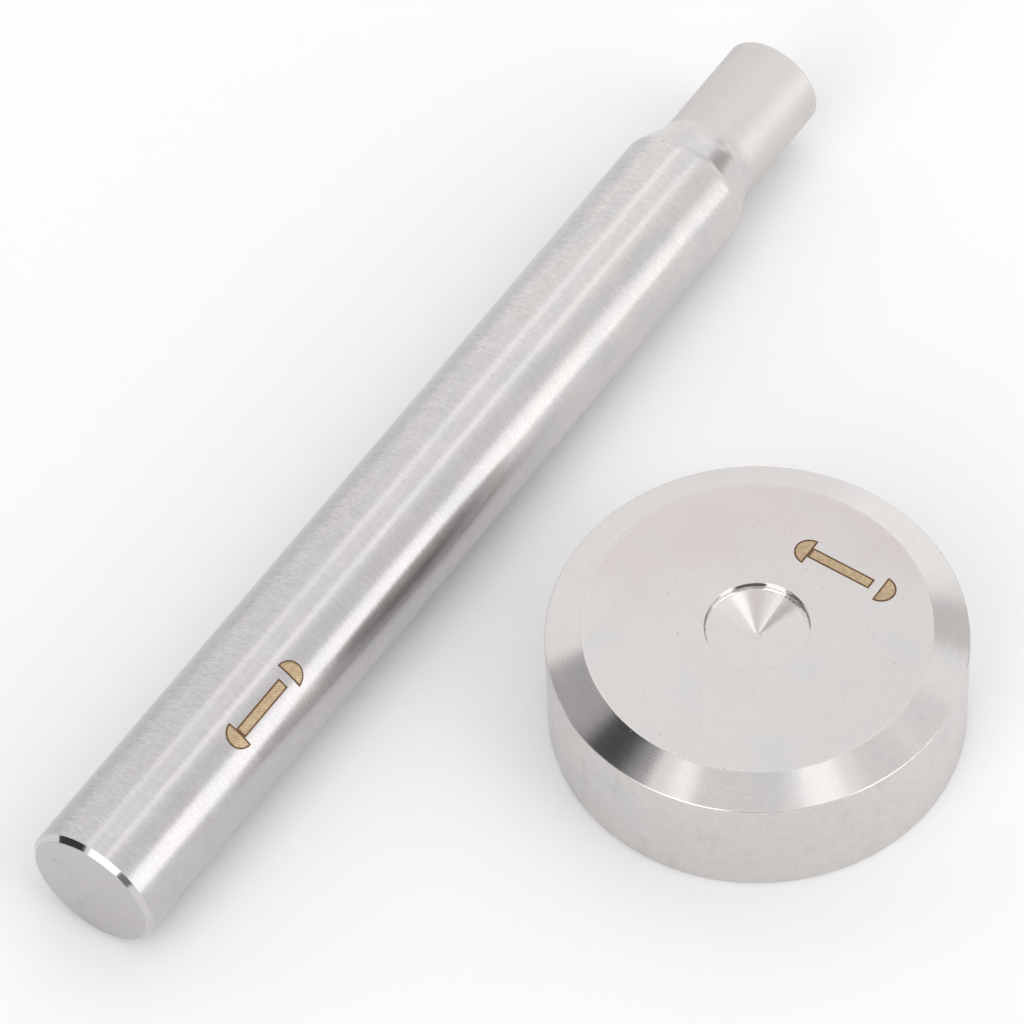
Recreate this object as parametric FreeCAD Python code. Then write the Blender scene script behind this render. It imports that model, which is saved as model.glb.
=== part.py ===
import FreeCAD, Part
import os

os.makedirs("parts", exist_ok=True)

# Rivet setter for double-cap rivets: a one-piece turned steel punch and the
# one-piece turned steel anvil it works against. All sizes in millimetres.
# The origin is the centre of the anvil's underside, +Z is up from the bench,
# and +X runs along the punch, which lies on the bench beside the anvil.

# Anvil: a short round block with a wide, shallow chamfer around its top.
anvil_radius = 19.0
anvil_height = 12.9
anvil_chamfer_run = 3.3
anvil_chamfer_rise = 1.5
anvil_foot_break = 0.25
anvil_side_round = 0.15
anvil_top_round = 0.1

# Recess that keeps the rivet's lower cap from being crushed flat: a short
# straight wall, a small corner round and a very shallow cone for a floor,
# with the tiny flat that the turning tool leaves at its centre.
recess_radius = 4.75
recess_depth = 1.49
recess_cone_rise = 0.72
recess_centre_flat = 0.25
recess_corner_round = 0.3
recess_rim_round = 0.08

# Punch: a plain round shank, a turned shoulder and a narrower setting tip.
punch_length = 111.0
shank_radius = 6.5
shank_length = 95.1
struck_end_chamfer = 0.5
shoulder_length = 3.65
shoulder_round = 2.0
tip_radius = 5.05
tip_root_round = 6.0
tip_edge_round = 0.25

# Dish in the end of the tip that keeps the rivet's upper cap domed.
dish_mouth_radius = 4.5
dish_depth = 0.9

# Where the punch lies: its struck end, and how far it is from the anvil.
punch_start_x = -52.0
punch_centre_y = 36.2

up = FreeCAD.Vector(0, 0, 1)
along = FreeCAD.Vector(1, 0, 0)
origin = FreeCAD.Vector(0, 0, 0)


def corner(x, z, blend=0.0):
    """One corner of a turned outline, with the radius that blends it."""
    return FreeCAD.Vector(x, 0, z), blend


def blend_arc(before, here, after, blend):
    """The arc of a given radius that blends the corner between two lines."""
    back = (before - here).normalize()
    ahead = (after - here).normalize()
    bisector = (back + ahead).normalize()
    cosine = bisector.dot(back)
    sine = bisector.cross(back).Length
    reach = blend * cosine / sine
    nearest = here + bisector * (blend / sine - blend)
    return Part.Arc(here + back * reach, nearest, here + ahead * reach)


def turned_solid(corners, axis):
    """Turn a closed outline of blended corners around an axis at the origin."""
    arcs = {}
    count = len(corners)
    for index, (here, blend) in enumerate(corners):
        if blend > 0:
            before = corners[index - 1][0]
            after = corners[(index + 1) % count][0]
            arcs[index] = blend_arc(before, here, after, blend)
    edges = []
    for index, (here, blend) in enumerate(corners):
        following = (index + 1) % count
        start = arcs[index].EndPoint if index in arcs else here
        end = arcs[following].StartPoint if following in arcs else corners[following][0]
        if index in arcs:
            edges.append(arcs[index].toShape())
        edges.append(Part.makeLine(start, end))
    return Part.Face(Part.Wire(edges)).revolve(origin, axis, 360)


def anvil():
    """The anvil, standing on the bench with its recess upwards."""
    chamfer_foot = anvil_height - anvil_chamfer_rise
    chamfer_top = anvil_radius - anvil_chamfer_run
    recess_floor = anvil_height - recess_depth
    wall_foot = recess_floor + recess_cone_rise
    corners = [
        corner(0, 0),
        corner(anvil_radius - anvil_foot_break, 0),
        corner(anvil_radius, anvil_foot_break),
        corner(anvil_radius, chamfer_foot, anvil_side_round),
        corner(chamfer_top, anvil_height, anvil_top_round),
        corner(recess_radius, anvil_height, recess_rim_round),
        corner(recess_radius, wall_foot, recess_corner_round),
        corner(recess_centre_flat, recess_floor),
        corner(0, recess_floor),
    ]
    return turned_solid(corners, up)


def punch_blank():
    """The punch before its tip is dished, with its axis along +X."""
    corners = [
        corner(0, 0),
        corner(0, shank_radius - struck_end_chamfer),
        corner(struck_end_chamfer, shank_radius),
        corner(shank_length, shank_radius, shoulder_round),
        corner(shank_length + shoulder_length, tip_radius, tip_root_round),
        corner(punch_length, tip_radius, tip_edge_round),
        corner(punch_length, 0),
    ]
    return turned_solid(corners, along)


def tip_dish():
    """The ball whose skin shapes the shallow dish in the end of the tip."""
    ball_radius = (dish_mouth_radius ** 2 + dish_depth ** 2) / (2 * dish_depth)
    centre_x = punch_length - dish_depth + ball_radius
    return Part.makeSphere(ball_radius, FreeCAD.Vector(centre_x, 0, 0), along)


def punch():
    """The punch, dished at its tip and lying on the bench beside the anvil."""
    shape = punch_blank().cut(tip_dish())
    # The line where its round faces close lies underneath, on the bench.
    shape.rotate(origin, along, 180)
    shape.translate(FreeCAD.Vector(punch_start_x, punch_centre_y, shank_radius))
    return shape


anvil().Solids[0].exportStep("parts/anvil.step")
punch().Solids[0].exportStep("parts/punch.step")
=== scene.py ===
"""Looks of a rivet setter: a ground steel punch that lies beside its turned steel anvil.

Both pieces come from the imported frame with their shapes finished. This script gives them
their steel, adds the laser marks that each one carries, and sets up a plain studio.
Sizes in the dataclasses are in millimetres unless a name says otherwise.
"""

import logging
import math
from dataclasses import dataclass, field
from enum import Enum
from typing import Callable, Union

import bmesh
import bpy
from mathutils import Matrix, Vector


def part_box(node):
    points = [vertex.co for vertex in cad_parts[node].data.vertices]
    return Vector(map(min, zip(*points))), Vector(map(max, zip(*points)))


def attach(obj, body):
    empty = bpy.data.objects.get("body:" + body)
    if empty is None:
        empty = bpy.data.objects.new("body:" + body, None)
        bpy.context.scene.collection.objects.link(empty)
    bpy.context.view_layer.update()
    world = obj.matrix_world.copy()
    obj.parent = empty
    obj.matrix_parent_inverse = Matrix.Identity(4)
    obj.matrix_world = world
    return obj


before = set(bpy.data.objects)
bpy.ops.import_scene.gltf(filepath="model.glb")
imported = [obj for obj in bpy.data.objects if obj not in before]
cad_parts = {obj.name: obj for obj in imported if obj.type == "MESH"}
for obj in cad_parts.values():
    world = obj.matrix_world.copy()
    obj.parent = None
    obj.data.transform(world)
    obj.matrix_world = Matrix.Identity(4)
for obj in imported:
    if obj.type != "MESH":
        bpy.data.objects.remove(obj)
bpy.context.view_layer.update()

MM = 0.001
DEGREES = 180.0 / math.pi
log = logging.getLogger("rivet_setter")

Colour = tuple[float, float, float]
Paces = tuple[float, float, float]
Socket = bpy.types.NodeSocket
Feed = Union["Value", Socket, float, tuple]


class Body(Enum):
    """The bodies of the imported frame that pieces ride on."""

    ANVIL = "anvil"
    PUNCH = "punch"


class Value:
    """A number that varies over a surface, with its sums written as Python."""

    def __init__(self, graph: "Graph", socket: Socket) -> None:
        """Wrap one output socket.

        Args:
            graph: The graph that the socket belongs to.
            socket: The output that gives the number.
        """
        self.graph = graph
        self.socket = socket

    def _sum(self, operation: str, first: Feed, second: Feed = 0.0) -> "Value":
        """Add one Math node.

        Args:
            operation: The node's operation.
            first: The first number.
            second: The second number.

        Returns:
            The result.
        """
        node = self.graph.add("ShaderNodeMath", {"operation": operation}, {0: first, 1: second})
        return Value(self.graph, node.outputs[0])

    def __add__(self, other: Feed) -> "Value":
        """Add."""
        return self._sum("ADD", self, other)

    def __radd__(self, other: Feed) -> "Value":
        """Add, from the right."""
        return self._sum("ADD", other, self)

    def __sub__(self, other: Feed) -> "Value":
        """Subtract."""
        return self._sum("SUBTRACT", self, other)

    def __rsub__(self, other: Feed) -> "Value":
        """Subtract from a plain number."""
        return self._sum("SUBTRACT", other, self)

    def __mul__(self, other: Feed) -> "Value":
        """Multiply."""
        return self._sum("MULTIPLY", self, other)

    def __rmul__(self, other: Feed) -> "Value":
        """Multiply, from the right."""
        return self._sum("MULTIPLY", other, self)

    def __truediv__(self, other: Feed) -> "Value":
        """Divide."""
        return self._sum("DIVIDE", self, other)

    def __pow__(self, other: Feed) -> "Value":
        """Raise to a power."""
        return self._sum("POWER", self, other)

    def magnitude(self) -> "Value":
        """Drop the sign."""
        return self._sum("ABSOLUTE", self)

    def lowest(self, other: Feed) -> "Value":
        """Take the smaller of two numbers."""
        return self._sum("MINIMUM", self, other)

    def highest(self, other: Feed) -> "Value":
        """Take the larger of two numbers."""
        return self._sum("MAXIMUM", self, other)

    def angle(self, other: Feed) -> "Value":
        """Give the angle whose sine is this number and whose cosine is the other."""
        return self._sum("ARCTAN2", self, other)

    def sine(self) -> "Value":
        """Give the sine of an angle in radians."""
        return self._sum("SINE", self)

    def swing(self) -> "Value":
        """Centre a pattern that lies between 0 and 1 on 0."""
        return self - 0.5

    def step(self, low: float, high: float) -> "Value":
        """Ease from 0 to 1 between two limits, or from 1 to 0 if low is above high.

        Args:
            low: Where the result is 0.
            high: Where the result is 1.

        Returns:
            The eased number.
        """
        kind = {"interpolation_type": "SMOOTHSTEP", "clamp": True}
        node = self.graph.add("ShaderNodeMapRange", kind, {0: self, 1: low, 2: high})
        return Value(self.graph, node.outputs[0])

    def near(self, centre: float, reach: float) -> "Value":
        """Give 1 at a centre, easing to 0 at a reach to either side of it."""
        return (self - centre).magnitude().step(reach, 0.0)


@dataclass(frozen=True)
class Place:
    """A surface point's place in millimetres, as a vector and as its three parts."""

    point: Socket
    x: Value
    y: Value
    z: Value

    def across_x(self) -> Value:
        """Give the distance from the line along X."""
        return (self.y * self.y + self.z * self.z) ** 0.5

    def across_z(self) -> Value:
        """Give the distance from the line along Z."""
        return (self.x * self.x + self.y * self.y) ** 0.5


@dataclass(frozen=True)
class Scatter:
    """How small round specks are strewn.

    The first number is how many cells there are in a unit, the second the largest speck's
    radius as a share of a cell, and the third the share of cells that hold a speck.
    """

    cells: float
    size: float
    share: float
    smallest: float = 0.4
    core: float = 0.55
    choice_edge: float = 0.01


class Graph:
    """The nodes of one material or world."""

    layer_weight: float = 0.55

    def __init__(self, tree: bpy.types.NodeTree) -> None:
        """Empty a node tree and take it over.

        Args:
            tree: The node tree of a material or a world.
        """
        self.tree = tree
        self.tree.nodes.clear()

    def feed(self, socket: Socket, source: Feed) -> None:
        """Set one input, by a link or by a plain value.

        Args:
            socket: The input.
            source: A value over the surface, an output socket, a number or a tuple.
        """
        if isinstance(source, Value):
            source = source.socket
        if isinstance(source, Socket):
            self.tree.links.new(source, socket)
        else:
            socket.default_value = source

    def add(self, kind: str, settings: dict | None = None, sockets: dict | None = None) -> bpy.types.Node:
        """Add any node.

        Args:
            kind: The node's type.
            settings: Its properties, set first.
            sockets: Its inputs by name or number, as values or links.

        Returns:
            The new node.
        """
        node = self.tree.nodes.new(kind)
        for name, setting in (settings or {}).items():
            setattr(node, name, setting)
        for name, source in (sockets or {}).items():
            self.feed(node.inputs[name], source)
        return node

    def place(self, centre: Vector) -> Place:
        """Give a surface point's place in millimetres from a centre.

        Args:
            centre: The centre, in metres, in the object's own frame.

        Returns:
            The place.
        """
        source = self.add("ShaderNodeTexCoord").outputs["Object"]
        shift = tuple(-part / MM for part in centre)
        scale = (1.0 / MM, 1.0 / MM, 1.0 / MM)
        sockets = {"Vector": source, "Location": shift, "Scale": scale}
        point = self.add("ShaderNodeMapping", None, sockets).outputs[0]
        parts = self.add("ShaderNodeSeparateXYZ", None, {0: point})
        return Place(point, *(Value(self, output) for output in parts.outputs))

    def vector(self, x: Feed, y: Feed, z: Feed) -> Socket:
        """Join three numbers into a vector."""
        return self.add("ShaderNodeCombineXYZ", None, {0: x, 1: y, 2: z}).outputs[0]

    def paced(self, parts: tuple[Value, Value, Value], paces: Paces) -> Socket:
        """Join three numbers into a vector, each times its own pace."""
        return self.vector(*(part * pace for part, pace in zip(parts, paces)))

    def noise(self, vector: Socket, scale: float, detail: float = 2.0) -> Value:
        """Sample soft noise between 0 and 1.

        Args:
            vector: Where to sample it.
            scale: How many features there are for each unit of the vector.
            detail: How many finer layers are added.

        Returns:
            The noise.
        """
        sockets = {"Vector": vector, "Scale": scale, "Detail": detail, "Roughness": self.layer_weight}
        return Value(self, self.add("ShaderNodeTexNoise", None, sockets).outputs[0])

    def drawn_out(self, parts: tuple[Value, Value, Value], paces: Paces, detail: float = 2.0) -> Value:
        """Sample soft noise that changes at its own pace along each of three lines.

        Args:
            parts: The distances along the three lines.
            paces: How many features there are in a millimetre along each.
            detail: How many finer layers are added.

        Returns:
            The noise.
        """
        return self.noise(self.paced(parts, paces), 1.0, detail)

    def specks(self, vector: Socket, scatter: Scatter) -> Value:
        """Strew small round specks.

        Args:
            vector: Where to sample them.
            scatter: How they are strewn.

        Returns:
            The mask of the specks, 1 at their centres.
        """
        cells = self.add("ShaderNodeTexVoronoi", None, {"Vector": vector, "Scale": scatter.cells})
        parts = self.add("ShaderNodeSeparateColor", None, {0: cells.outputs["Color"]})
        limit = 1.0 - scatter.share
        chosen = Value(self, parts.outputs[0]).step(limit, limit + scatter.choice_edge)
        spread = (1.0 - scatter.smallest) * scatter.size
        radius = Value(self, parts.outputs[1]) * spread + scatter.smallest * scatter.size
        distance = Value(self, cells.outputs["Distance"]) / radius
        return distance.step(1.0, scatter.core) * chosen

    def mix(self, share: Feed, first: Feed, second: Feed) -> Socket:
        """Blend two colours.

        Args:
            share: The share of the second colour.
            first: The first colour.
            second: The second colour.

        Returns:
            The blended colour.
        """
        sockets = {0: share, 6: self.rgba(first), 7: self.rgba(second)}
        return self.add("ShaderNodeMix", {"data_type": "RGBA"}, sockets).outputs[2]

    def tint(self, share: Feed, first: Feed, second: Feed) -> Socket:
        """Multiply one colour by another.

        Args:
            share: How much of the multiplying shows.
            first: The colour.
            second: What it is multiplied by.

        Returns:
            The tinted colour.
        """
        settings = {"data_type": "RGBA", "blend_type": "MULTIPLY"}
        sockets = {0: share, 6: self.rgba(first), 7: self.rgba(second)}
        return self.add("ShaderNodeMix", settings, sockets).outputs[2]

    def grey(self, shade: Value) -> Socket:
        """Turn a number into a neutral colour."""
        return self.add("ShaderNodeCombineColor", None, {0: shade, 1: shade, 2: shade}).outputs[0]

    @staticmethod
    def rgba(colour: Feed) -> Feed:
        """Give a plain colour its fourth part, and leave a link as it is.

        Args:
            colour: Three numbers, four numbers or an output socket.

        Returns:
            Four numbers, or the socket.
        """
        if isinstance(colour, tuple) and len(colour) == 3:
            return (*colour, 1.0)
        return colour

    def relief(self, height: Value, depth_mm: float) -> Socket:
        """Turn a height between 0 and 1 into a bumped normal.

        Args:
            height: The height over the surface.
            depth_mm: How deep a height of 1 is.

        Returns:
            The normal.
        """
        sockets = {"Height": height, "Strength": 1.0, "Distance": depth_mm * MM}
        return self.add("ShaderNodeBump", None, sockets).outputs[0]

    def finish_metal(self, colour: Feed, roughness: Feed, normal: Feed) -> None:
        """End a material in one bare metal shader.

        Args:
            colour: What the metal reflects straight on.
            roughness: Its roughness.
            normal: Its normal.
        """
        sockets = {"Base Color": colour, "Metallic": 1.0, "Roughness": roughness, "Normal": normal}
        shader = self.add("ShaderNodeBsdfPrincipled", None, sockets)
        self.add("ShaderNodeOutputMaterial", None, {"Surface": shader.outputs[0]})


def new_material(name: str) -> tuple[bpy.types.Material, Graph]:
    """Make an empty node material.

    Args:
        name: The material's name.

    Returns:
        The material and the graph that fills it.
    """
    material = bpy.data.materials.new(name)
    material.use_nodes = True
    return material, Graph(material.node_tree)


class MachinedSteel:
    """Steel made from its zones, its patterns and their relief, roughness and colour."""

    def make(self, name: str, centre: Vector) -> bpy.types.Material:
        """Make the steel.

        Args:
            name: The material's name.
            centre: Where the zones are measured from, in metres.

        Returns:
            The material.
        """
        material, graph = new_material(name)
        place = graph.place(centre)
        zones = self.zones(place)
        marks = self.marks(graph, place, zones)
        colour = self.colour(graph, place, zones, marks)
        normal = graph.relief(self.relief.height(zones, marks), self.relief.depth)
        graph.finish_metal(colour, self.roughness.over(zones, marks), normal)
        return material


@dataclass(frozen=True)
class BarZones:
    """The zones of the punch's surface: each is 1 on its zone and 0 off it."""

    face: Value
    chamfer: Value
    shank: Value
    shoulder: Value
    tip: Value
    dish: Value
    far_side: Value
    near_side: Value


@dataclass(frozen=True)
class BarMarks:
    """The patterns in the punch's finish, each between 0 and 1."""

    fine: Value
    medium: Value
    grain: Value
    patches: Value
    bands: Value
    turned: Value
    facing: Value
    nicks: Value
    pits: Value


@dataclass(frozen=True)
class BarRelief:
    """How far each pattern of the punch stands out, as shares of the depth."""

    depth: float = 0.010
    fine: float = 0.14
    medium: float = 0.06
    grain: float = 0.17
    near_grain: float = 0.22
    turned: float = 0.20
    tip_share: float = 0.6
    facing: float = 0.16
    plain_grain: float = 0.20
    pits: float = 0.4
    nicks: float = 0.45

    def height(self, zones: BarZones, marks: BarMarks) -> Value:
        """Add up the relief.

        Args:
            zones: The punch's zones.
            marks: The punch's patterns.

        Returns:
            The height over the surface.
        """
        grain = marks.grain * (self.grain + self.near_grain * zones.near_side)
        height = (marks.fine * self.fine + marks.medium * self.medium + grain) * zones.shank
        height = height + marks.turned * self.turned * (zones.shoulder + zones.tip * self.tip_share)
        height = height + marks.facing * self.facing * zones.face
        height = height + marks.grain * self.plain_grain * (zones.tip + zones.shoulder + zones.face)
        return height - marks.pits * self.pits - marks.nicks * self.nicks


@dataclass(frozen=True)
class BarRoughness:
    """How rough the punch is, and how far each zone and pattern changes it."""

    base: float = 0.195
    fine: float = 0.08
    patches: float = 0.09
    bands: float = 0.05
    tip: float = 0.26
    face: float = 0.15
    shoulder: float = 0.01
    chamfer: float = 0.12
    dish: float = 0.14
    pits: float = 0.15
    smoothest: float = 0.07

    def over(self, zones: BarZones, marks: BarMarks) -> Value:
        """Add up the roughness.

        Args:
            zones: The punch's zones.
            marks: The punch's patterns.

        Returns:
            The roughness over the surface.
        """
        rough = self.base + marks.fine.swing() * self.fine * zones.shank
        rough = rough + marks.patches.swing() * self.patches + marks.bands.swing() * self.bands
        rough = rough + zones.tip * self.tip + zones.face * self.face
        rough = rough + zones.shoulder * self.shoulder - zones.chamfer * self.chamfer
        return (rough - zones.dish * self.dish + marks.pits * self.pits).highest(self.smoothest)


@dataclass(frozen=True)
class BarShade:
    """How far each pattern lightens or darkens the punch, with light and shade painted on its chamfer, end
    face and tip.
    """

    fine: float = 0.46
    medium: float = 0.22
    streaks: float = 0.50
    far_streaks: float = 0.80
    grain: float = 0.13
    near_grain: float = 0.18
    bands: float = 0.08
    turned: float = 0.07
    plain_grain: float = 0.08
    # Painted light on the struck end's chamfer and end face, and painted shade on the tip.
    chamfer: float = 0.14
    face: float = 0.04
    tip: float = 0.02

    def over(self, zones: BarZones, marks: BarMarks) -> Value:
        """Add up the shade.

        Args:
            zones: The punch's zones.
            marks: The punch's patterns.

        Returns:
            What the steel's colour is multiplied by.
        """
        drawn = marks.fine.swing() * self.fine + marks.medium.swing() * self.medium
        drawn = drawn * (self.streaks + self.far_streaks * zones.far_side)
        grain = marks.grain.swing() * (self.grain + self.near_grain * zones.near_side)
        shade = 1.0 + (drawn + grain) * zones.shank + marks.bands.swing() * self.bands
        shade = shade + marks.turned.swing() * self.turned * (zones.shoulder + zones.tip)
        shade = shade + marks.grain.swing() * self.plain_grain * (1.0 - zones.shank)
        # The chamfer and end face are painted lighter and the tip is painted darker.
        return shade + zones.chamfer * self.chamfer + zones.face * self.face - zones.tip * self.tip


@dataclass(frozen=True)
class GroundBarSteel(MachinedSteel):
    """Round bar ground along its shank, turned at its tip and faced at its ends."""

    # The steel is darker towards the struck end and lighter towards the tip.
    struck_end_steel: Colour = (0.546, 0.525, 0.528)
    tip_end_steel: Colour = (0.648, 0.622, 0.610)
    cool_steel: Colour = (0.535, 0.528, 0.546)
    stain: Colour = (0.74, 0.68, 0.62)
    nick: Colour = (0.50, 0.47, 0.45)
    # Painted shade: the shank's side away from the camera is tinted darker and bluer.
    painted_side_shade_colour: Colour = (0.835, 0.832, 0.860)

    face_depth: float = 0.03
    chamfer_width: float = 0.5
    edge: float = 0.02
    shoulder_start: float = 94.8
    shoulder_edge: float = 0.4
    tip_start: float = 98.9
    tip_edge: float = 0.5
    length: float = 111.0
    dish_start: float = 1.5
    dish_depth: float = 0.9
    dish_radius: float = 4.5
    dish_edge: float = 0.2
    far_side: tuple[float, float] = (-1.5, 4.5)
    near_side: tuple[float, float] = (-3.2, -4.4)
    # Across the shank, where the painted side shade begins and where it is full.
    painted_side_shade_edge: tuple[float, float] = (2.3, 4.2)
    # Along the punch, where the struck-end tone gives way to the tip-end tone.
    struck_to_tip_run: tuple[float, float] = (8.0, 108.0)

    wanders: tuple[tuple[float, float], ...] = ((0.16, 0.9), (0.8, 0.22))
    fine: Paces = (6.5, 1.5, 1.5)
    medium: Paces = (2.6, 0.45, 0.45)
    grain: float = 7.0
    patches: Paces = (0.13, 0.35, 0.35)
    bands: Paces = (0.5, 0.06, 0.06)
    turned: Paces = (5.5, 0.12, 0.12)
    facing: Paces = (5.0, 0.25, 0.25)
    nick_paces: Paces = (5.0, 0.35, 0.35)
    nicks: Scatter = Scatter(0.5, 0.26, 0.014)
    pits: Scatter = Scatter(0.8, 0.10, 0.10)

    cool_edge: tuple[float, float] = (0.42, 0.70)
    cool_share: float = 0.55
    # The share of the painted side shade that also falls on the tip.
    tip_painted_side_shade_share: float = 0.35
    smudge_pace: float = 0.42
    smudge_edge: tuple[float, float] = (0.58, 0.80)
    smudge_share: float = 0.10
    face_smudge_share: float = 0.40
    pit_tint: float = 0.7
    nick_tint: float = 0.75
    relief: BarRelief = BarRelief()
    roughness: BarRoughness = BarRoughness()
    shade: BarShade = BarShade()

    def zones(self, place: Place) -> BarZones:
        """Mark off the punch's zones.

        Args:
            place: The surface point, from the struck end.

        Returns:
            The zones.
        """
        along = place.x
        face = along.step(self.face_depth + self.edge, self.face_depth)
        chamfer = along.step(self.chamfer_width + self.edge, self.chamfer_width - self.edge) * (1.0 - face)
        tip = along.step(self.tip_start, self.tip_start + self.tip_edge)
        shoulder = along.step(self.shoulder_start, self.shoulder_start + self.shoulder_edge) * (1.0 - tip)
        shank = (1.0 - face) * (1.0 - chamfer) * (1.0 - tip) * (1.0 - shoulder)
        end = along.step(self.length - self.dish_start, self.length - self.dish_depth)
        dish = end * place.across_x().step(self.dish_radius, self.dish_radius - self.dish_edge)
        far_side = place.y.step(*self.far_side)
        near_side = place.y.step(*self.near_side)
        return BarZones(face, chamfer, shank, shoulder, tip, dish, far_side, near_side)

    def marks(self, graph: Graph, place: Place, zones: BarZones) -> BarMarks:
        """Sample the patterns of the punch's finish.

        Args:
            graph: The material's graph.
            place: The surface point, from the struck end.
            zones: The punch's zones.

        Returns:
            The patterns.
        """
        slow, quick = (graph.noise(place.point, pace, 1.0) * reach for pace, reach in self.wanders)
        drawn = (place.x + (slow + quick), place.y, place.z)
        straight = (place.x, place.y, place.z)
        outward = (place.across_x(), place.y, place.z)
        return BarMarks(
            fine=graph.drawn_out(drawn, self.fine),
            medium=graph.drawn_out(drawn, self.medium),
            grain=graph.noise(place.point, self.grain),
            patches=graph.drawn_out(straight, self.patches),
            bands=graph.drawn_out(straight, self.bands),
            turned=graph.drawn_out(straight, self.turned),
            facing=graph.drawn_out(outward, self.facing),
            nicks=graph.specks(graph.paced(drawn, self.nick_paces), self.nicks) * zones.shank,
            pits=graph.specks(place.point, self.pits),
        )

    def colour(self, graph: Graph, place: Place, zones: BarZones, marks: BarMarks) -> Socket:
        """Mix the punch's colour.

        Args:
            graph: The material's graph.
            place: The surface point, from the struck end.
            zones: The punch's zones.
            marks: The punch's patterns.

        Returns:
            The colour over the surface.
        """
        # Darker towards the struck end, lighter towards the tip.
        colour = graph.mix(place.x.step(*self.struck_to_tip_run), self.struck_end_steel, self.tip_end_steel)
        cool = marks.patches.step(*self.cool_edge) * self.cool_share * (1.0 - zones.tip)
        colour = graph.mix(cool, colour, self.cool_steel)
        colour = graph.tint(1.0, colour, graph.grey(self.shade.over(zones, marks)))
        # Painted shade on the side of the shank and tip that faces away from the camera.
        painted_side_shade = place.y.step(*self.painted_side_shade_edge) * (zones.shank + zones.tip * self.tip_painted_side_shade_share)
        colour = graph.tint(painted_side_shade, colour, self.painted_side_shade_colour)
        smudge = graph.noise(place.point, self.smudge_pace, 3.0).step(*self.smudge_edge)
        smudge = smudge * (zones.face * self.face_smudge_share + self.smudge_share)
        colour = graph.tint(smudge, colour, self.stain)
        return graph.tint(marks.pits * self.pit_tint + marks.nicks * self.nick_tint, colour, self.nick)


@dataclass(frozen=True)
class BlockZones:
    """The zones of the anvil's surface: each is 1 on its zone and 0 off it."""

    top: Value
    recess: Value
    chamfer: Value
    side: Value
    turned: Value
    worn: Value
    centre: Value


@dataclass(frozen=True)
class BlockMarks:
    """The patterns in the anvil's finish, each between 0 and 1."""

    turned: Value
    side_turned: Value
    grain: Value
    mottle: Value
    clouds: Value
    cool_clouds: Value
    scratches: Value
    pits: Value
    nicks: Value
    stains: Value


@dataclass(frozen=True)
class BlockRelief:
    """How far each pattern of the anvil stands out, as shares of the depth."""

    depth: float = 0.010
    chamfer_turned: float = 0.30
    recess_turned: float = 0.40
    top_turned: float = 0.04
    side_turned: float = 0.22
    top_grain: float = 0.26
    side_grain: float = 0.30
    turned_grain: float = 0.12
    pits: float = 0.5
    nicks: float = 0.6
    scratches: float = 0.25

    def height(self, zones: BlockZones, marks: BlockMarks) -> Value:
        """Add up the relief.

        Args:
            zones: The anvil's zones.
            marks: The anvil's patterns.

        Returns:
            The height over the surface.
        """
        turned = zones.chamfer * self.chamfer_turned + zones.recess * self.recess_turned
        height = marks.turned * (turned + zones.top * self.top_turned)
        height = height + marks.grain * (zones.top * self.top_grain + zones.side * self.side_grain)
        height = height + marks.side_turned * zones.side * self.side_turned
        height = height + marks.grain * self.turned_grain * zones.turned
        height = height - marks.pits * self.pits - marks.nicks * self.nicks
        return height - marks.scratches * self.scratches


@dataclass(frozen=True)
class BlockRoughness:
    """How rough each zone of the anvil is, and how far each pattern changes it."""

    top: float = 0.25
    chamfer: float = 0.125
    recess: float = 0.10
    side: float = 0.29
    clouds: float = 0.08
    turned: float = 0.05
    mottle: float = 0.05
    pits: float = 0.2
    worn: float = 0.03
    centre: float = 0.17
    smoothest: float = 0.07

    def over(self, zones: BlockZones, marks: BlockMarks) -> Value:
        """Add up the roughness.

        Args:
            zones: The anvil's zones.
            marks: The anvil's patterns.

        Returns:
            The roughness over the surface.
        """
        rough = self.top * zones.top + self.chamfer * zones.chamfer + self.recess * zones.recess
        rough = rough + self.side * zones.side + marks.clouds.swing() * self.clouds
        rough = rough + marks.turned.swing() * self.turned * zones.turned
        rough = rough + marks.mottle.swing() * self.mottle * (zones.top + zones.side)
        rough = rough + marks.pits * self.pits - zones.worn * self.worn + zones.centre * self.centre
        return rough.highest(self.smoothest)


@dataclass(frozen=True)
class BlockShade:
    """How far each pattern lightens or darkens the anvil, with light painted on its side, chamfer and
    recess, and shade painted on its top and at the recess's centre.
    """

    turned: float = 0.09
    side_turned: float = 0.08
    top_grain: float = 0.16
    side_grain: float = 0.22
    turned_grain: float = 0.16
    stains: float = 0.09
    mottle: float = 0.07
    side_mottle: float = 0.09
    # Painted light on the chamfer, recess and side, and painted shade on the top.
    turned_painted_light: float = 0.03
    side_painted_light: float = 0.035
    top_painted_shade: float = 0.11
    worn: float = 0.05
    scratches: float = 0.06
    # Painted shade at the centre of the recess.
    centre: float = 0.10

    def over(self, zones: BlockZones, marks: BlockMarks) -> Value:
        """Add up the shade.

        Args:
            zones: The anvil's zones.
            marks: The anvil's patterns.

        Returns:
            What the steel's colour is multiplied by.
        """
        grain = marks.grain.swing()
        shade = 1.0 + marks.turned.swing() * self.turned * zones.turned
        shade = shade + marks.side_turned.swing() * self.side_turned * zones.side
        shade = shade + grain * (self.top_grain * zones.top + self.side_grain * zones.side)
        shade = shade - marks.stains * self.stains * zones.side
        shade = shade + marks.mottle.swing() * (self.mottle + self.side_mottle * zones.side)
        shade = shade + grain * self.turned_grain * zones.turned
        # Painted light on the chamfer, recess and side, and painted shade on the top.
        shade = shade + self.turned_painted_light * zones.turned + self.side_painted_light * zones.side
        shade = shade - self.top_painted_shade * zones.top
        shade = shade + zones.worn * self.worn - marks.scratches * self.scratches
        # Painted shade at the centre of the recess, darkening its small flat.
        return shade - zones.centre * self.centre


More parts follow.
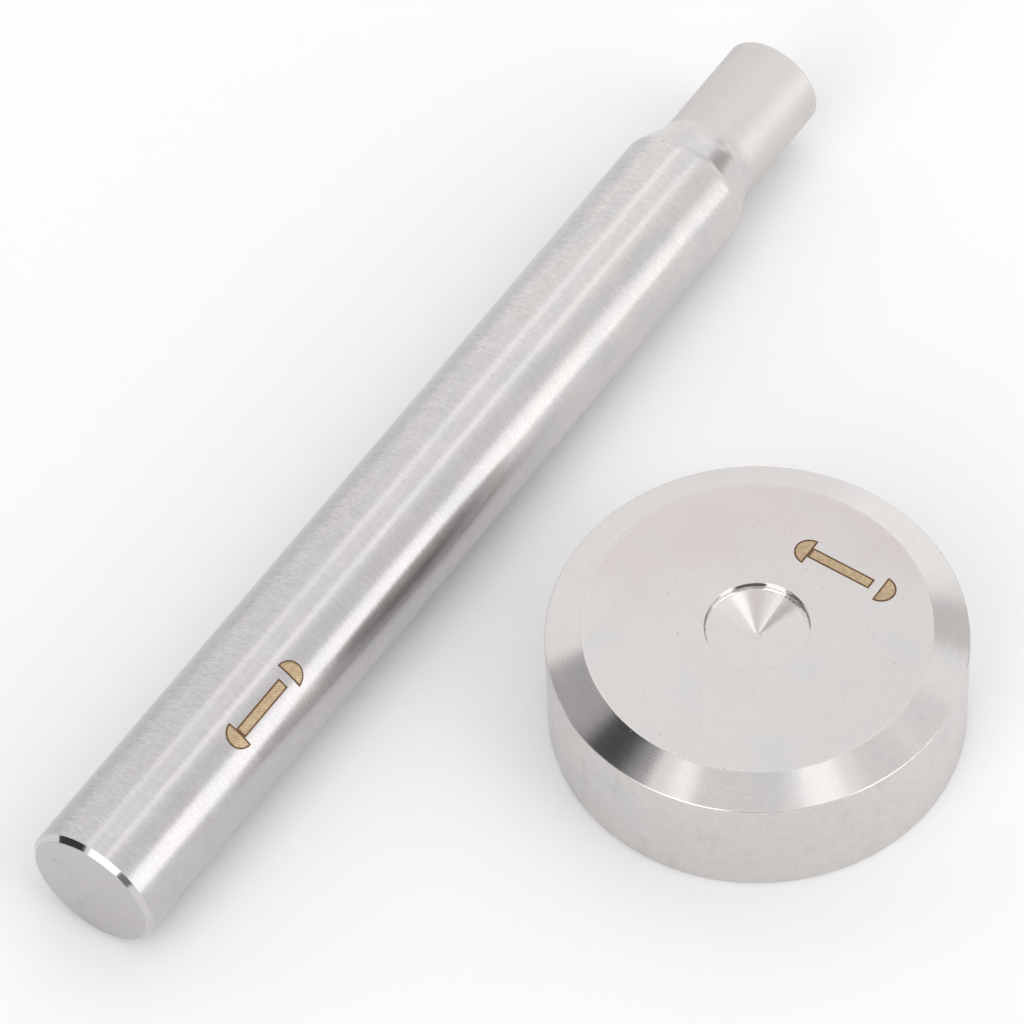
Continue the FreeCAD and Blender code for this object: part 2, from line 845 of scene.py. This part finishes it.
@dataclass(frozen=True)
class TurnedBlockSteel(MachinedSteel):
    """Round block with a lapped top, a turned chamfer and recess, and a satin side."""

    steel: Colour = (0.640, 0.615, 0.605)
    # Painted reflection: the half of the top away from the camera is tinted rosier.
    painted_reflection_steel: Colour = (0.628, 0.578, 0.566)
    cool_steel: Colour = (0.612, 0.606, 0.600)
    speck: Colour = (0.62, 0.58, 0.54)

    height: float = 12.9
    top_edge: tuple[float, float] = (0.05, 0.02)
    chamfer_rise: float = 1.5
    chamfer_edge: float = 0.05
    side_edge: float = 0.06
    top_radius: float = 15.7
    radius: float = 19.0
    side_band: tuple[float, float] = (0.5, 0.3)
    recess_radius: float = 4.8
    recess_edge: float = 0.05
    worn_width: float = 0.22
    worn_rise: tuple[float, float] = (0.3, 0.1)
    recess_worn_width: float = 0.14
    centre_edge: tuple[float, float] = (0.5, 0.26)

    turned: Paces = (9.0, 0.10, 0.10)
    side_turned: Paces = (0.12, 0.12, 8.0)
    grain: float = 4.5
    mottle: float = 0.9
    clouds: float = 0.13
    cool_clouds: Paces = (0.16, 0.16, 0.1)
    scratch_along: tuple[float, float] = (0.14, 0.05)
    scratch_across: tuple[float, float] = (4.0, 1.4)
    scratch_edge: tuple[float, float] = (0.67, 0.75)
    scratched_edge: tuple[float, float] = (0.48, 0.60)
    pits: Scatter = Scatter(0.9, 0.10, 0.24)
    nicks: Scatter = Scatter(1.8, 0.11, 0.10)
    stains: Paces = (0.5, 0.5, 0.22)
    stain_edge: tuple[float, float] = (0.52, 0.78)

    # Where the painted rosy reflection lies on the top: its heading away from the camera, its wander and its
    # edge.
    painted_reflection_turn_deg: float = 36.7
    painted_reflection_wander: float = 16.0
    painted_reflection_edge: tuple[float, float] = (0.0, 10.0)
    cool_edge: tuple[float, float] = (0.48, 0.70)
    cool_share: float = 0.6
    pit_tint: float = 0.5
    nick_tint: float = 0.4
    relief: BlockRelief = BlockRelief()
    roughness: BlockRoughness = BlockRoughness()
    shade: BlockShade = BlockShade()

    def zones(self, place: Place) -> BlockZones:
        """Mark off the anvil's zones.

        Args:
            place: The surface point, from the underside.

        Returns:
            The zones.
        """
        out = place.across_z()
        low, high = self.top_edge
        above = place.z.step(self.height - low, self.height - high)
        recess = out.step(self.recess_radius, self.recess_radius - self.recess_edge)
        foot = self.height - self.chamfer_rise
        chamfer = place.z.step(foot - self.chamfer_edge, foot) * (1.0 - above) * (1.0 - recess)
        inner, outer = self.side_band
        side = place.z.step(foot, foot - self.side_edge) * out.step(self.radius - inner, self.radius - outer)
        low, high = self.worn_rise
        rim = place.z.step(self.height - low, self.height - high)
        worn = out.near(self.top_radius, self.worn_width) * rim
        worn = worn + out.near(self.recess_radius, self.recess_worn_width) * above
        top = above * (1.0 - recess)
        centre = out.step(*self.centre_edge)
        return BlockZones(top, recess, chamfer, side, chamfer + recess, worn, centre)

    def scratches(self, graph: Graph, place: Place) -> Value:
        """Draw long fine scratches, all nearly the same way.

        Args:
            graph: The material's graph.
            place: The surface point, from the underside.

        Returns:
            The mask of the scratches.
        """
        straight, skew = self.scratch_along
        along = place.x * straight + place.y * skew
        straight, skew = self.scratch_across
        across = place.y * straight - place.x * skew
        return graph.noise(graph.vector(along, across, place.z), 1.0, 1.0).step(*self.scratch_edge)

    def marks(self, graph: Graph, place: Place, zones: BlockZones) -> BlockMarks:
        """Sample the patterns of the anvil's finish.

        Args:
            graph: The material's graph.
            place: The surface point, from the underside.
            zones: The anvil's zones.

        Returns:
            The patterns.
        """
        straight = (place.x, place.y, place.z)
        mottle = graph.noise(place.point, self.mottle)
        scratches = self.scratches(graph, place) * mottle.step(*self.scratched_edge) * zones.top
        return BlockMarks(
            turned=graph.drawn_out((place.across_z(), place.x, place.y), self.turned),
            side_turned=graph.drawn_out(straight, self.side_turned),
            grain=graph.noise(place.point, self.grain, 3.0),
            mottle=mottle,
            clouds=graph.noise(place.point, self.clouds, 3.0),
            cool_clouds=graph.drawn_out((place.y, place.x, place.z), self.cool_clouds),
            scratches=scratches,
            pits=graph.specks(place.point, self.pits),
            nicks=graph.specks(place.point, self.nicks) * zones.chamfer,
            stains=graph.drawn_out(straight, self.stains, 3.0).step(*self.stain_edge),
        )

    def colour(self, graph: Graph, place: Place, zones: BlockZones, marks: BlockMarks) -> Socket:
        """Mix the anvil's colour.

        Args:
            graph: The material's graph.
            place: The surface point, from the underside.
            zones: The anvil's zones.
            marks: The anvil's patterns.

        Returns:
            The colour over the surface.
        """
        # Painted rosy reflection on the top: rosier on the half away from the camera.
        turn = math.radians(self.painted_reflection_turn_deg)
        toward_back = place.x * math.cos(turn) + place.y * math.sin(turn)
        toward_back = toward_back + marks.clouds.swing() * self.painted_reflection_wander
        colour = graph.mix(toward_back.step(*self.painted_reflection_edge) * zones.top, self.steel, self.painted_reflection_steel)
        cool = marks.cool_clouds.step(*self.cool_edge) * self.cool_share
        colour = graph.mix(cool, colour, self.cool_steel)
        colour = graph.tint(1.0, colour, graph.grey(self.shade.over(zones, marks)))
        return graph.tint(marks.pits * self.pit_tint + marks.nicks * self.nick_tint, colour, self.speck)


@dataclass(frozen=True)
class LaserMark:
    """Steel tinted by a marking laser: a tan field inside a dark burnt line."""

    field: Colour = (0.47, 0.36, 0.235)
    line: Colour = (0.165, 0.098, 0.055)
    field_roughness: float = 0.42
    line_roughness: float = 0.5
    sweep_gap: float = 0.32
    sweep_depth: float = 0.22
    burn_pace: float = 3.0
    burn_edge: tuple[float, float] = (0.35, 0.65)
    paler: float = 1.25
    dot_pace: float = 14.0
    dot_roughness: float = 0.15
    relief_depth: float = 0.004

    def make(self, name: str, colour: Colour, roughness: float) -> bpy.types.Material:
        """Make one tone of the mark.

        Args:
            name: The material's name.
            colour: The tone.
            roughness: How rough the laser leaves the steel.

        Returns:
            The material.
        """
        material, graph = new_material(name)
        place = graph.place(Vector((0.0, 0.0, 0.0)))
        burn = graph.noise(place.point, self.burn_pace)
        dots = graph.noise(place.point, self.dot_pace)
        pale = tuple(min(1.0, part * self.paler) for part in colour)
        shade = graph.mix(burn.step(*self.burn_edge), colour, pale)
        sweep = (place.x + place.y) * (2.0 * math.pi / self.sweep_gap)
        raster = sweep.sine() * 0.5 + 0.5
        shade = graph.tint(raster * self.sweep_depth, shade, self.line)
        rough = roughness + dots.swing() * self.dot_roughness
        normal = graph.relief(dots * 0.5 + raster * 0.5, self.relief_depth)
        graph.finish_metal(shade, rough, normal)
        return material

    def both(self) -> list[bpy.types.Material]:
        """Make the field's and the line's materials.

        Returns:
            The two materials, the field's first.
        """
        field_steel = self.make("laser_tan", self.field, self.field_roughness)
        line_steel = self.make("laser_burn", self.line, self.line_roughness)
        return [field_steel, line_steel]


@dataclass
class CapMark:
    """A size mark drawn as a double-cap rivet from the side: two caps and their post."""

    length: float = 10.4
    height: float = 2.8
    cap_depth: float = 1.5
    cap_segments: int = 40
    post_width: float = 1.15
    gap: float = 0.9
    line_width: float = 0.17
    thickness: float = 0.012
    grid: float = 0.35
    smallest_edge: float = 0.004

    def cap(self, mesh: bmesh.types.BMesh, sign: int) -> None:
        """Draw one cap as a half disc with its flat side inwards.

        Args:
            mesh: The mesh to draw in.
            sign: 1 for the far cap, -1 for the near one.
        """
        radius = self.height / 2
        disc = bmesh.ops.create_circle(mesh, cap_ends=True, segments=self.cap_segments, radius=radius)
        flat = self.length / 2 - self.cap_depth
        squash = Matrix.Diagonal((self.cap_depth / radius, 1.0, 1.0, 1.0))
        bmesh.ops.transform(mesh, matrix=squash, verts=disc["verts"])
        edges = dict.fromkeys(edge for vert in disc["verts"] for edge in vert.link_edges)
        faces = dict.fromkeys(face for vert in disc["verts"] for face in vert.link_faces)
        parts = disc["verts"] + list(edges) + list(faces)
        inwards = (sign, 0, 0)
        middle = (0, 0, 0)
        cut = bmesh.ops.bisect_plane(mesh, geom=parts, plane_co=middle, plane_no=inwards, clear_inner=True)
        kept = dict.fromkeys(vert for part in cut["geom"] for vert in getattr(part, "verts", []))
        bmesh.ops.translate(mesh, vec=(sign * flat, 0, 0), verts=list(kept))

    def post(self, mesh: bmesh.types.BMesh) -> None:
        """Draw the post, which stands on the near cap and ends short of the far one.

        Args:
            mesh: The mesh to draw in.
        """
        post = bmesh.ops.create_grid(mesh, x_segments=1, y_segments=1, size=0.5)
        post_length = self.length - 2 * self.cap_depth - self.gap
        stretch = Matrix.Diagonal((post_length, self.post_width, 1.0, 1.0))
        shift = Matrix.Translation((-self.gap / 2, 0, 0))
        bmesh.ops.transform(mesh, matrix=shift @ stretch, verts=post["verts"])

    def outline(self) -> bmesh.types.BMesh:
        """Draw the mark flat, centred, with its length along X.

        Returns:
            The mesh: material 0 inside each shape and material 1 along its outline.
        """
        mesh = bmesh.new()
        for sign in (-1, 1):
            self.cap(mesh, sign)
        self.post(mesh)
        kind = {"thickness": self.line_width, "use_boundary": True, "use_even_offset": True}
        rims = bmesh.ops.inset_region(mesh, faces=list(mesh.faces), **kind)
        for face in rims["faces"]:
            face.material_index = 1
        bmesh.ops.recalc_face_normals(mesh, faces=list(mesh.faces))
        return mesh

    def divide(self, mesh: bmesh.types.BMesh) -> None:
        """Cut the flat mark into small squares, so that it can follow a round surface.

        Args:
            mesh: The flat mark.
        """
        steps = int(self.length / self.grid)
        for index in range(1, steps):
            for axis, span in ((0, self.length), (1, self.height)):
                at = -span / 2 + index * self.grid
                if at < span / 2:
                    normal = Vector((0, 0, 0))
                    normal[axis] = 1.0
                    point = normal * at
                    everything = list(mesh.verts) + list(mesh.edges) + list(mesh.faces)
                    bmesh.ops.bisect_plane(mesh, geom=everything, plane_co=point, plane_no=normal)
        bmesh.ops.dissolve_degenerate(mesh, edges=list(mesh.edges), dist=self.smallest_edge)
        bmesh.ops.recalc_face_normals(mesh, faces=list(mesh.faces))

    def thicken(self, mesh: bmesh.types.BMesh) -> None:
        """Give the flat mark its thickness, and point its faces outwards.

        Args:
            mesh: The flat mark.
        """
        top = bmesh.ops.extrude_face_region(mesh, geom=list(mesh.faces), use_keep_orig=True)
        raised = [part for part in top["geom"] if isinstance(part, bmesh.types.BMVert)]
        bmesh.ops.translate(mesh, vec=(0, 0, self.thickness), verts=raised)
        bmesh.ops.recalc_face_normals(mesh, faces=list(mesh.faces))

    def build(self, name: str, lay: Callable[[Vector], Vector], body: Body) -> bpy.types.Object:
        """Make the mark as a thin skin laid on a surface.

        Args:
            name: The piece's name.
            lay: Turns a flat point of the mark, in millimetres, into a place in metres.
            body: The body that it rides on.

        Returns:
            The piece.
        """
        mesh = self.outline()
        self.divide(mesh)
        self.thicken(mesh)
        for vert in mesh.verts:
            vert.co = lay(vert.co)
        data = bpy.data.meshes.new(name)
        mesh.to_mesh(data)
        mesh.free()
        piece = bpy.data.objects.new(name, data)
        bpy.context.scene.collection.objects.link(piece)
        for material in LaserMark().both():
            data.materials.append(material)
        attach(piece, body.value)
        return piece


@dataclass
class Punch:
    """The punch that is struck: its steel, and the mark near its struck end."""

    mark_centre: float = 21.8
    mark_turn_deg: float = 35.3
    mark_lift: float = 0.004

    def __post_init__(self) -> None:
        """Find the punch's axis and radius in the frame."""
        low, high = (Vector(corner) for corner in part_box("punch"))
        self.radius = (high.z - low.z) / 2
        self.start = Vector((low.x, (low.y + high.y) / 2, low.z + self.radius))

    def dress(self) -> bpy.types.Object:
        """Give the punch its steel.

        Returns:
            The punch.
        """
        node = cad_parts["punch"]
        steel = GroundBarSteel().make("ground_bar_steel", self.start)
        for slot in node.material_slots:
            slot.material = steel
        return node

    def lay(self, point: Vector) -> Vector:
        """Wrap a point of the mark around the shank.

        Args:
            point: A flat point, in millimetres.

        Returns:
            Its place on the shank, in metres.
        """
        radius = self.radius + (self.mark_lift + point.z) * MM
        turn = math.radians(self.mark_turn_deg) - point.y * MM / self.radius
        along = self.start.x + (self.mark_centre + point.x) * MM
        across = self.start.y - radius * math.sin(turn)
        return Vector((along, across, self.start.z + radius * math.cos(turn)))

    def mark(self) -> bpy.types.Object:
        """Mark the shank with the rivet that it sets."""
        return CapMark().build("punch_mark", self.lay, Body.PUNCH)


@dataclass
class Anvil:
    """The anvil that the rivet stands on: its steel, and the mark beside its recess."""

    mark_out: float = 9.4
    mark_back: float = 3.3
    mark_lift: float = 0.004

    def __post_init__(self) -> None:
        """Find the anvil's base and top in the frame."""
        low, high = (Vector(corner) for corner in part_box("anvil"))
        self.base = Vector(((low.x + high.x) / 2, (low.y + high.y) / 2, low.z))
        self.top = high.z

    def dress(self) -> bpy.types.Object:
        """Give the anvil its steel.

        Returns:
            The anvil.
        """
        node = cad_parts["anvil"]
        steel = TurnedBlockSteel().make("turned_block_steel", self.base)
        for slot in node.material_slots:
            slot.material = steel
        return node

    def lay(self, point: Vector) -> Vector:
        """Place a point of the mark on the anvil's top.

        Args:
            point: A flat point, in millimetres.

        Returns:
            Its place on the top face, in metres.
        """
        x = self.base.x + (self.mark_out + point.y) * MM
        y = self.base.y - (self.mark_back + point.x) * MM
        return Vector((x, y, self.top + (self.mark_lift + point.z) * MM))

    def mark(self) -> bpy.types.Object:
        """Mark the top with the rivet that it sets."""
        return CapMark().build("anvil_mark", self.lay, Body.ANVIL)


@dataclass(frozen=True)
class RoofPanel:
    """A straight strip light or dark gap in the studio's roof, in shares of its height.

    The first number of each end is to the camera's right, the second away from it.
    """

    start: tuple[float, float]
    stop: tuple[float, float]
    half_width: float
    softness: float
    level: float
    colour: Colour = (1.0, 1.0, 1.0)

    def mask(self, across: Value, deep: Value) -> Value:
        """Mask the strip.

        Args:
            across: The place on the roof to the right.
            deep: The place on the roof away from the camera.

        Returns:
            The mask, 1 on the strip.
        """
        run = Vector(self.stop) - Vector(self.start)
        length = run.length
        run = run / length
        from_x = across - self.start[0]
        from_y = deep - self.start[1]
        travelled = from_x * run.x + from_y * run.y
        clipped = travelled.highest(0.0).lowest(length)
        gap_x = from_x - clipped * run.x
        gap_y = from_y - clipped * run.y
        gap = (gap_x * gap_x + gap_y * gap_y) ** 0.5
        return gap.step(self.half_width + self.softness, self.half_width)


@dataclass(frozen=True)
class WallPanel:
    """A bright or dark patch of the studio's wall, in degrees from straight away."""

    turn: float
    half_turn: float
    low: float
    high: float
    softness: float
    level: float
    colour: Colour = (1.0, 1.0, 1.0)

    def mask(self, turn: Value, rise: Value) -> Value:
        """Mask the patch.

        Args:
            turn: The direction's turn to the right, in degrees.
            rise: The direction's height above level, in degrees.

        Returns:
            The mask, 1 on the patch.
        """
        apart = (turn - self.turn).magnitude()
        sideways = apart.lowest(360.0 - apart)
        mask = sideways.step(self.half_turn + self.softness, self.half_turn)
        mask = mask * rise.step(self.low - self.softness, self.low)
        return mask * rise.step(self.high + self.softness, self.high)


@dataclass
class Studio:
    """A white light tent, a pale floor and the camera.

    The tent is even but for its panels, and a later panel covers an earlier one.
    """

    aim: Vector = field(default_factory=lambda: Vector((0.00632, 0.03121, 0.0)))
    azimuth_deg: float = -53.33
    elevation_deg: float = 53.35
    roll_deg: float = -3.104
    distance: float = 0.5691
    lens: float = 215.02
    sensor_width: float = 36.0
    nearest: float = 0.01
    farthest: float = 20.0
    floor_size: float = 4.0
    floor_colour: Colour = (0.875, 0.875, 0.875)
    floor_roughness: float = 0.9
    floor_gloss: float = 0.2
    tent_level: float = 1.06
    lowest_roof: float = 0.05
    roof_edge: tuple[float, float] = (0.08, 0.2)
    roof: tuple[RoofPanel, ...] = (
        RoofPanel((-0.25, -0.22), (0.05, -0.27), 0.05, 0.05, 0.88),
        RoofPanel((0.13, 0.45), (0.15, 0.47), 0.05, 0.16, 1.17),
        RoofPanel((0.03, 0.86), (-0.005, 0.71), 0.02, 0.14, 1.38),
        RoofPanel((-0.005, 0.71), (-0.09, 0.635), 0.02, 0.14, 1.46),
        RoofPanel((-0.10, 0.45), (-0.36, -0.23), 0.03, 0.04, 1.35),
        RoofPanel((0.135, 0.37), (0.27, -0.20), 0.03, 0.03, 1.55),
        RoofPanel((0.265, -0.20), (0.30, -0.34), 0.085, 0.02, 1.42),
        RoofPanel((0.50, 0.44), (0.515, 0.31), 0.03, 0.08, 1.22),
        RoofPanel((0.515, 0.31), (0.40, 0.24), 0.03, 0.08, 1.66),
        RoofPanel((0.03, 0.36), (0.03, 0.20), 0.03, 0.04, 0.92, (1.0, 0.955, 0.955)),
        RoofPanel((-0.74, 0.20), (-1.02, 0.70), 0.10, 0.14, 0.50),
        RoofPanel((-0.15, 0.46), (-0.34, 0.33), 0.03, 0.05, 0.70),
        RoofPanel((-0.545, -0.05), (-0.60, 0.03), 0.05, 0.05, 0.34),
        RoofPanel((-0.36, 0.32), (-0.73, 0.07), 0.09, 0.11, 0.07),
    )
    walls: tuple[WallPanel, ...] = (
        WallPanel(88.0, 14.0, 33.0, 50.0, 6.0, 0.92),
        WallPanel(99.0, 9.0, 55.0, 64.0, 4.0, 0.90),
        WallPanel(82.0, 5.0, 22.0, 34.0, 5.0, 0.90),
        WallPanel(109.5, 12.0, 3.0, 26.0, 6.0, 1.85),
        WallPanel(28.0, 10.0, 8.0, 20.0, 5.0, 1.18),
        WallPanel(50.0, 4.0, 25.0, 33.0, 5.0, 0.74),
        WallPanel(52.0, 9.0, -8.0, 12.0, 4.0, 0.52),
        WallPanel(-99.5, 16.0, 2.0, 22.0, 5.0, 0.06),
        WallPanel(-144.0, 17.0, 2.0, 60.0, 5.0, 2.40),
        WallPanel(172.0, 27.0, 30.0, 42.0, 4.0, 0.19),
        WallPanel(-173.0, 8.0, 3.0, 14.0, 4.0, 0.25),
        WallPanel(-90.0, 16.0, 36.0, 45.0, 4.0, 0.22),
        WallPanel(124.0, 12.0, 5.0, 55.0, 4.0, 2.30),
    )

    def aim_camera(self) -> bpy.types.Object:
        """Make the camera.

        Returns:
            The camera, as the scene's own.
        """
        azimuth = math.radians(self.azimuth_deg)
        elevation = math.radians(self.elevation_deg)
        level = math.cos(elevation)
        back = Vector((math.sin(azimuth) * level, -math.cos(azimuth) * level, math.sin(elevation)))
        data = bpy.data.cameras.new("studio_camera")
        data.lens = self.lens
        data.sensor_width = self.sensor_width
        data.clip_start = self.nearest
        data.clip_end = self.farthest
        camera = bpy.data.objects.new("studio_camera", data)
        bpy.context.scene.collection.objects.link(camera)
        turn = back.to_track_quat("Z", "Y").to_matrix().to_4x4()
        roll = Matrix.Rotation(math.radians(self.roll_deg), 4, "Z")
        camera.matrix_world = Matrix.Translation(self.aim + back * self.distance) @ turn @ roll
        bpy.context.scene.camera = camera
        return camera

    def lay_floor(self) -> bpy.types.Object:
        """Make the plain pale floor.

        Returns:
            The floor, which is attached to neither body.
        """
        mesh = bmesh.new()
        bmesh.ops.create_grid(mesh, x_segments=1, y_segments=1, size=self.floor_size / 2)
        data = bpy.data.meshes.new("floor")
        mesh.to_mesh(data)
        mesh.free()
        floor = bpy.data.objects.new("floor", data)
        bpy.context.scene.collection.objects.link(floor)
        material, graph = new_material("pale_floor")
        sockets = {
            "Base Color": graph.rgba(self.floor_colour),
            "Roughness": self.floor_roughness,
            "Specular IOR Level": self.floor_gloss,
        }
        shader = graph.add("ShaderNodeBsdfPrincipled", None, sockets)
        graph.add("ShaderNodeOutputMaterial", None, {"Surface": shader.outputs[0]})
        data.materials.append(material)
        return floor

    def directions(self, graph: Graph) -> tuple[Value, Value, Value]:
        """Split the world's direction by the camera's heading.

        Args:
            graph: The world's graph.

        Returns:
            The direction's parts to the camera's right, away from it and up.
        """
        direction = graph.add("ShaderNodeTexCoord").outputs["Generated"]
        azimuth = math.radians(self.azimuth_deg)
        to_right = (math.cos(azimuth), math.sin(azimuth), 0.0)
        to_back = (-math.sin(azimuth), math.cos(azimuth), 0.0)
        kind = {"operation": "DOT_PRODUCT"}
        right = graph.add("ShaderNodeVectorMath", kind, {0: direction, 1: to_right}).outputs[1]
        away = graph.add("ShaderNodeVectorMath", kind, {0: direction, 1: to_back}).outputs[1]
        up = graph.add("ShaderNodeSeparateXYZ", None, {0: direction}).outputs[2]
        return Value(graph, right), Value(graph, away), Value(graph, up)

    def hang_tent(self) -> None:
        """Make the white tent around the floor, with its strip lights and gaps."""
        world = bpy.data.worlds.new("tent")
        bpy.context.scene.world = world
        world.use_nodes = True
        graph = Graph(world.node_tree)
        right, away, up = self.directions(graph)
        light = (self.tent_level, self.tent_level, self.tent_level)
        roof_height = up.highest(self.lowest_roof)
        across = right / roof_height
        deep = away / roof_height
        overhead = up.step(*self.roof_edge)
        for panel in self.roof:
            mask = panel.mask(across, deep) * overhead
            light = graph.mix(mask, light, tuple(part * panel.level for part in panel.colour))
        turn = right.angle(away) * DEGREES
        rise = up.angle((right * right + away * away) ** 0.5) * DEGREES
        for panel in self.walls:
            mask = panel.mask(turn, rise)
            light = graph.mix(mask, light, tuple(part * panel.level for part in panel.colour))
        background = graph.add("ShaderNodeBackground", None, {"Color": light, "Strength": 1.0})
        graph.add("ShaderNodeOutputWorld", None, {"Surface": background.outputs[0]})

    def build(self) -> None:
        """Set up the whole studio."""
        self.aim_camera()
        self.lay_floor()
        self.hang_tent()
        bpy.context.scene.view_settings.view_transform = "Standard"


def main() -> None:
    """Dress both pieces, mark them and set up the studio."""
    logging.basicConfig(level=logging.INFO, format="%(message)s")
    Studio().build()
    for part in (Anvil(), Punch()):
        for piece in (part.dress(), part.mark()):
            log.info("%s: %d faces", piece.name, len(piece.data.polygons))
    bpy.context.view_layer.update()


if __name__ == "__main__":
    main()
